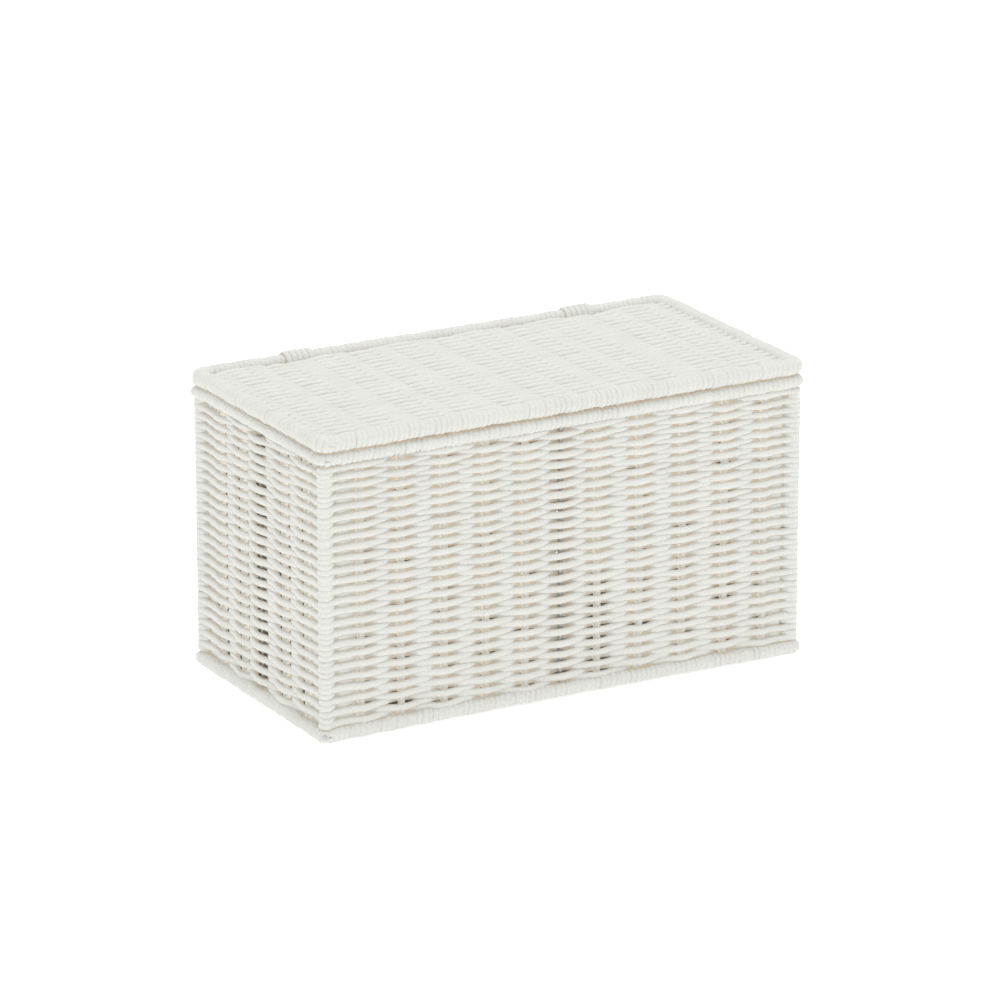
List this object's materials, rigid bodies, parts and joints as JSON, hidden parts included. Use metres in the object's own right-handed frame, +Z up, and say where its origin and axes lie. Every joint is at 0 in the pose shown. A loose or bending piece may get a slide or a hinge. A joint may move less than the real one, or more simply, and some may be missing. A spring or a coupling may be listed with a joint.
{
  "type": "storage trunk",
  "caption": "Low rectangular storage trunk woven from off-white paper rope over a wire frame, with rope-bound rims and a flat woven lid lashed on along the back.",
  "frame": {"origin": "middle of the bounding box, on the surface that the base rim stands on", "axes": "+X along the length, +Y from the front to the hinged back, +Z up"},
  "size_m": [0.4, 0.2066, 0.2276],
  "materials": {
    "paper_rope": "matt off-white twisted paper rope",
    "stake_rope": "matt off-white paper rope over wire, a little darker inside the weave",
    "galvanised_wire": "satin grey galvanised wire"
  },
  "bodies": {
    "basket": {"base_ring_wire": "galvanised_wire", "top_ring_wire": "galvanised_wire", "corner_post_front_left": "stake_rope", "corner_post_front_right": "stake_rope", "corner_post_back_left": "stake_rope", "corner_post_back_right": "stake_rope", "body_stake_01": "stake_rope", "body_stake_02": "stake_rope", "body_stake_03": "stake_rope", "body_stake_04": "stake_rope", "body_stake_05": "stake_rope", "body_stake_06": "galvanised_wire", "body_stake_07": "stake_rope", "body_stake_08": "stake_rope", "body_stake_09": "stake_rope", "body_stake_10": "stake_rope", "body_stake_11": "stake_rope", "end_stake_left_1": "stake_rope", "end_stake_left_2": "stake_rope", "end_stake_left_3": "galvanised_wire", "end_stake_left_4": "stake_rope", "end_stake_left_5": "stake_rope", "end_stake_right_1": "stake_rope", "end_stake_right_2": "stake_rope", "end_stake_right_3": "galvanised_wire", "end_stake_right_4": "stake_rope", "end_stake_right_5": "stake_rope", "wall_weave_front": "paper_rope", "wall_weave_back": "paper_rope", "wall_weave_left": "paper_rope", "wall_weave_right": "paper_rope", "base_weave": "paper_rope", "base_binding_front": "paper_rope", "base_binding_back": "paper_rope", "base_binding_left": "paper_rope", "base_binding_right": "paper_rope", "top_binding_front": "paper_rope", "top_binding_back": "paper_rope", "top_binding_left": "paper_rope", "top_binding_right": "paper_rope", "hinge_lashing_left": "paper_rope", "hinge_lashing_right": "paper_rope"},
    "lid": {"lid_ring_wire": "galvanised_wire", "lid_stake_01": "stake_rope", "lid_stake_02": "stake_rope", "lid_stake_03": "stake_rope", "lid_stake_04": "stake_rope", "lid_stake_05": "stake_rope", "lid_stake_06": "stake_rope", "lid_stake_07": "stake_rope", "lid_stake_08": "stake_rope", "lid_stake_09": "stake_rope", "lid_stake_10": "stake_rope", "lid_stake_11": "stake_rope", "lid_weave": "paper_rope", "lid_binding_front": "paper_rope", "lid_binding_back": "paper_rope", "lid_binding_left": "paper_rope", "lid_binding_right": "paper_rope"}
  },
  "joints": [
    {"name": "lid_hinge", "type": "hinge", "parent": "basket", "child": "lid", "pos_m": [0, 0.0942, 0.2185], "axis": [-1, 0, 0], "range_deg": [0, 180]}
  ]
}
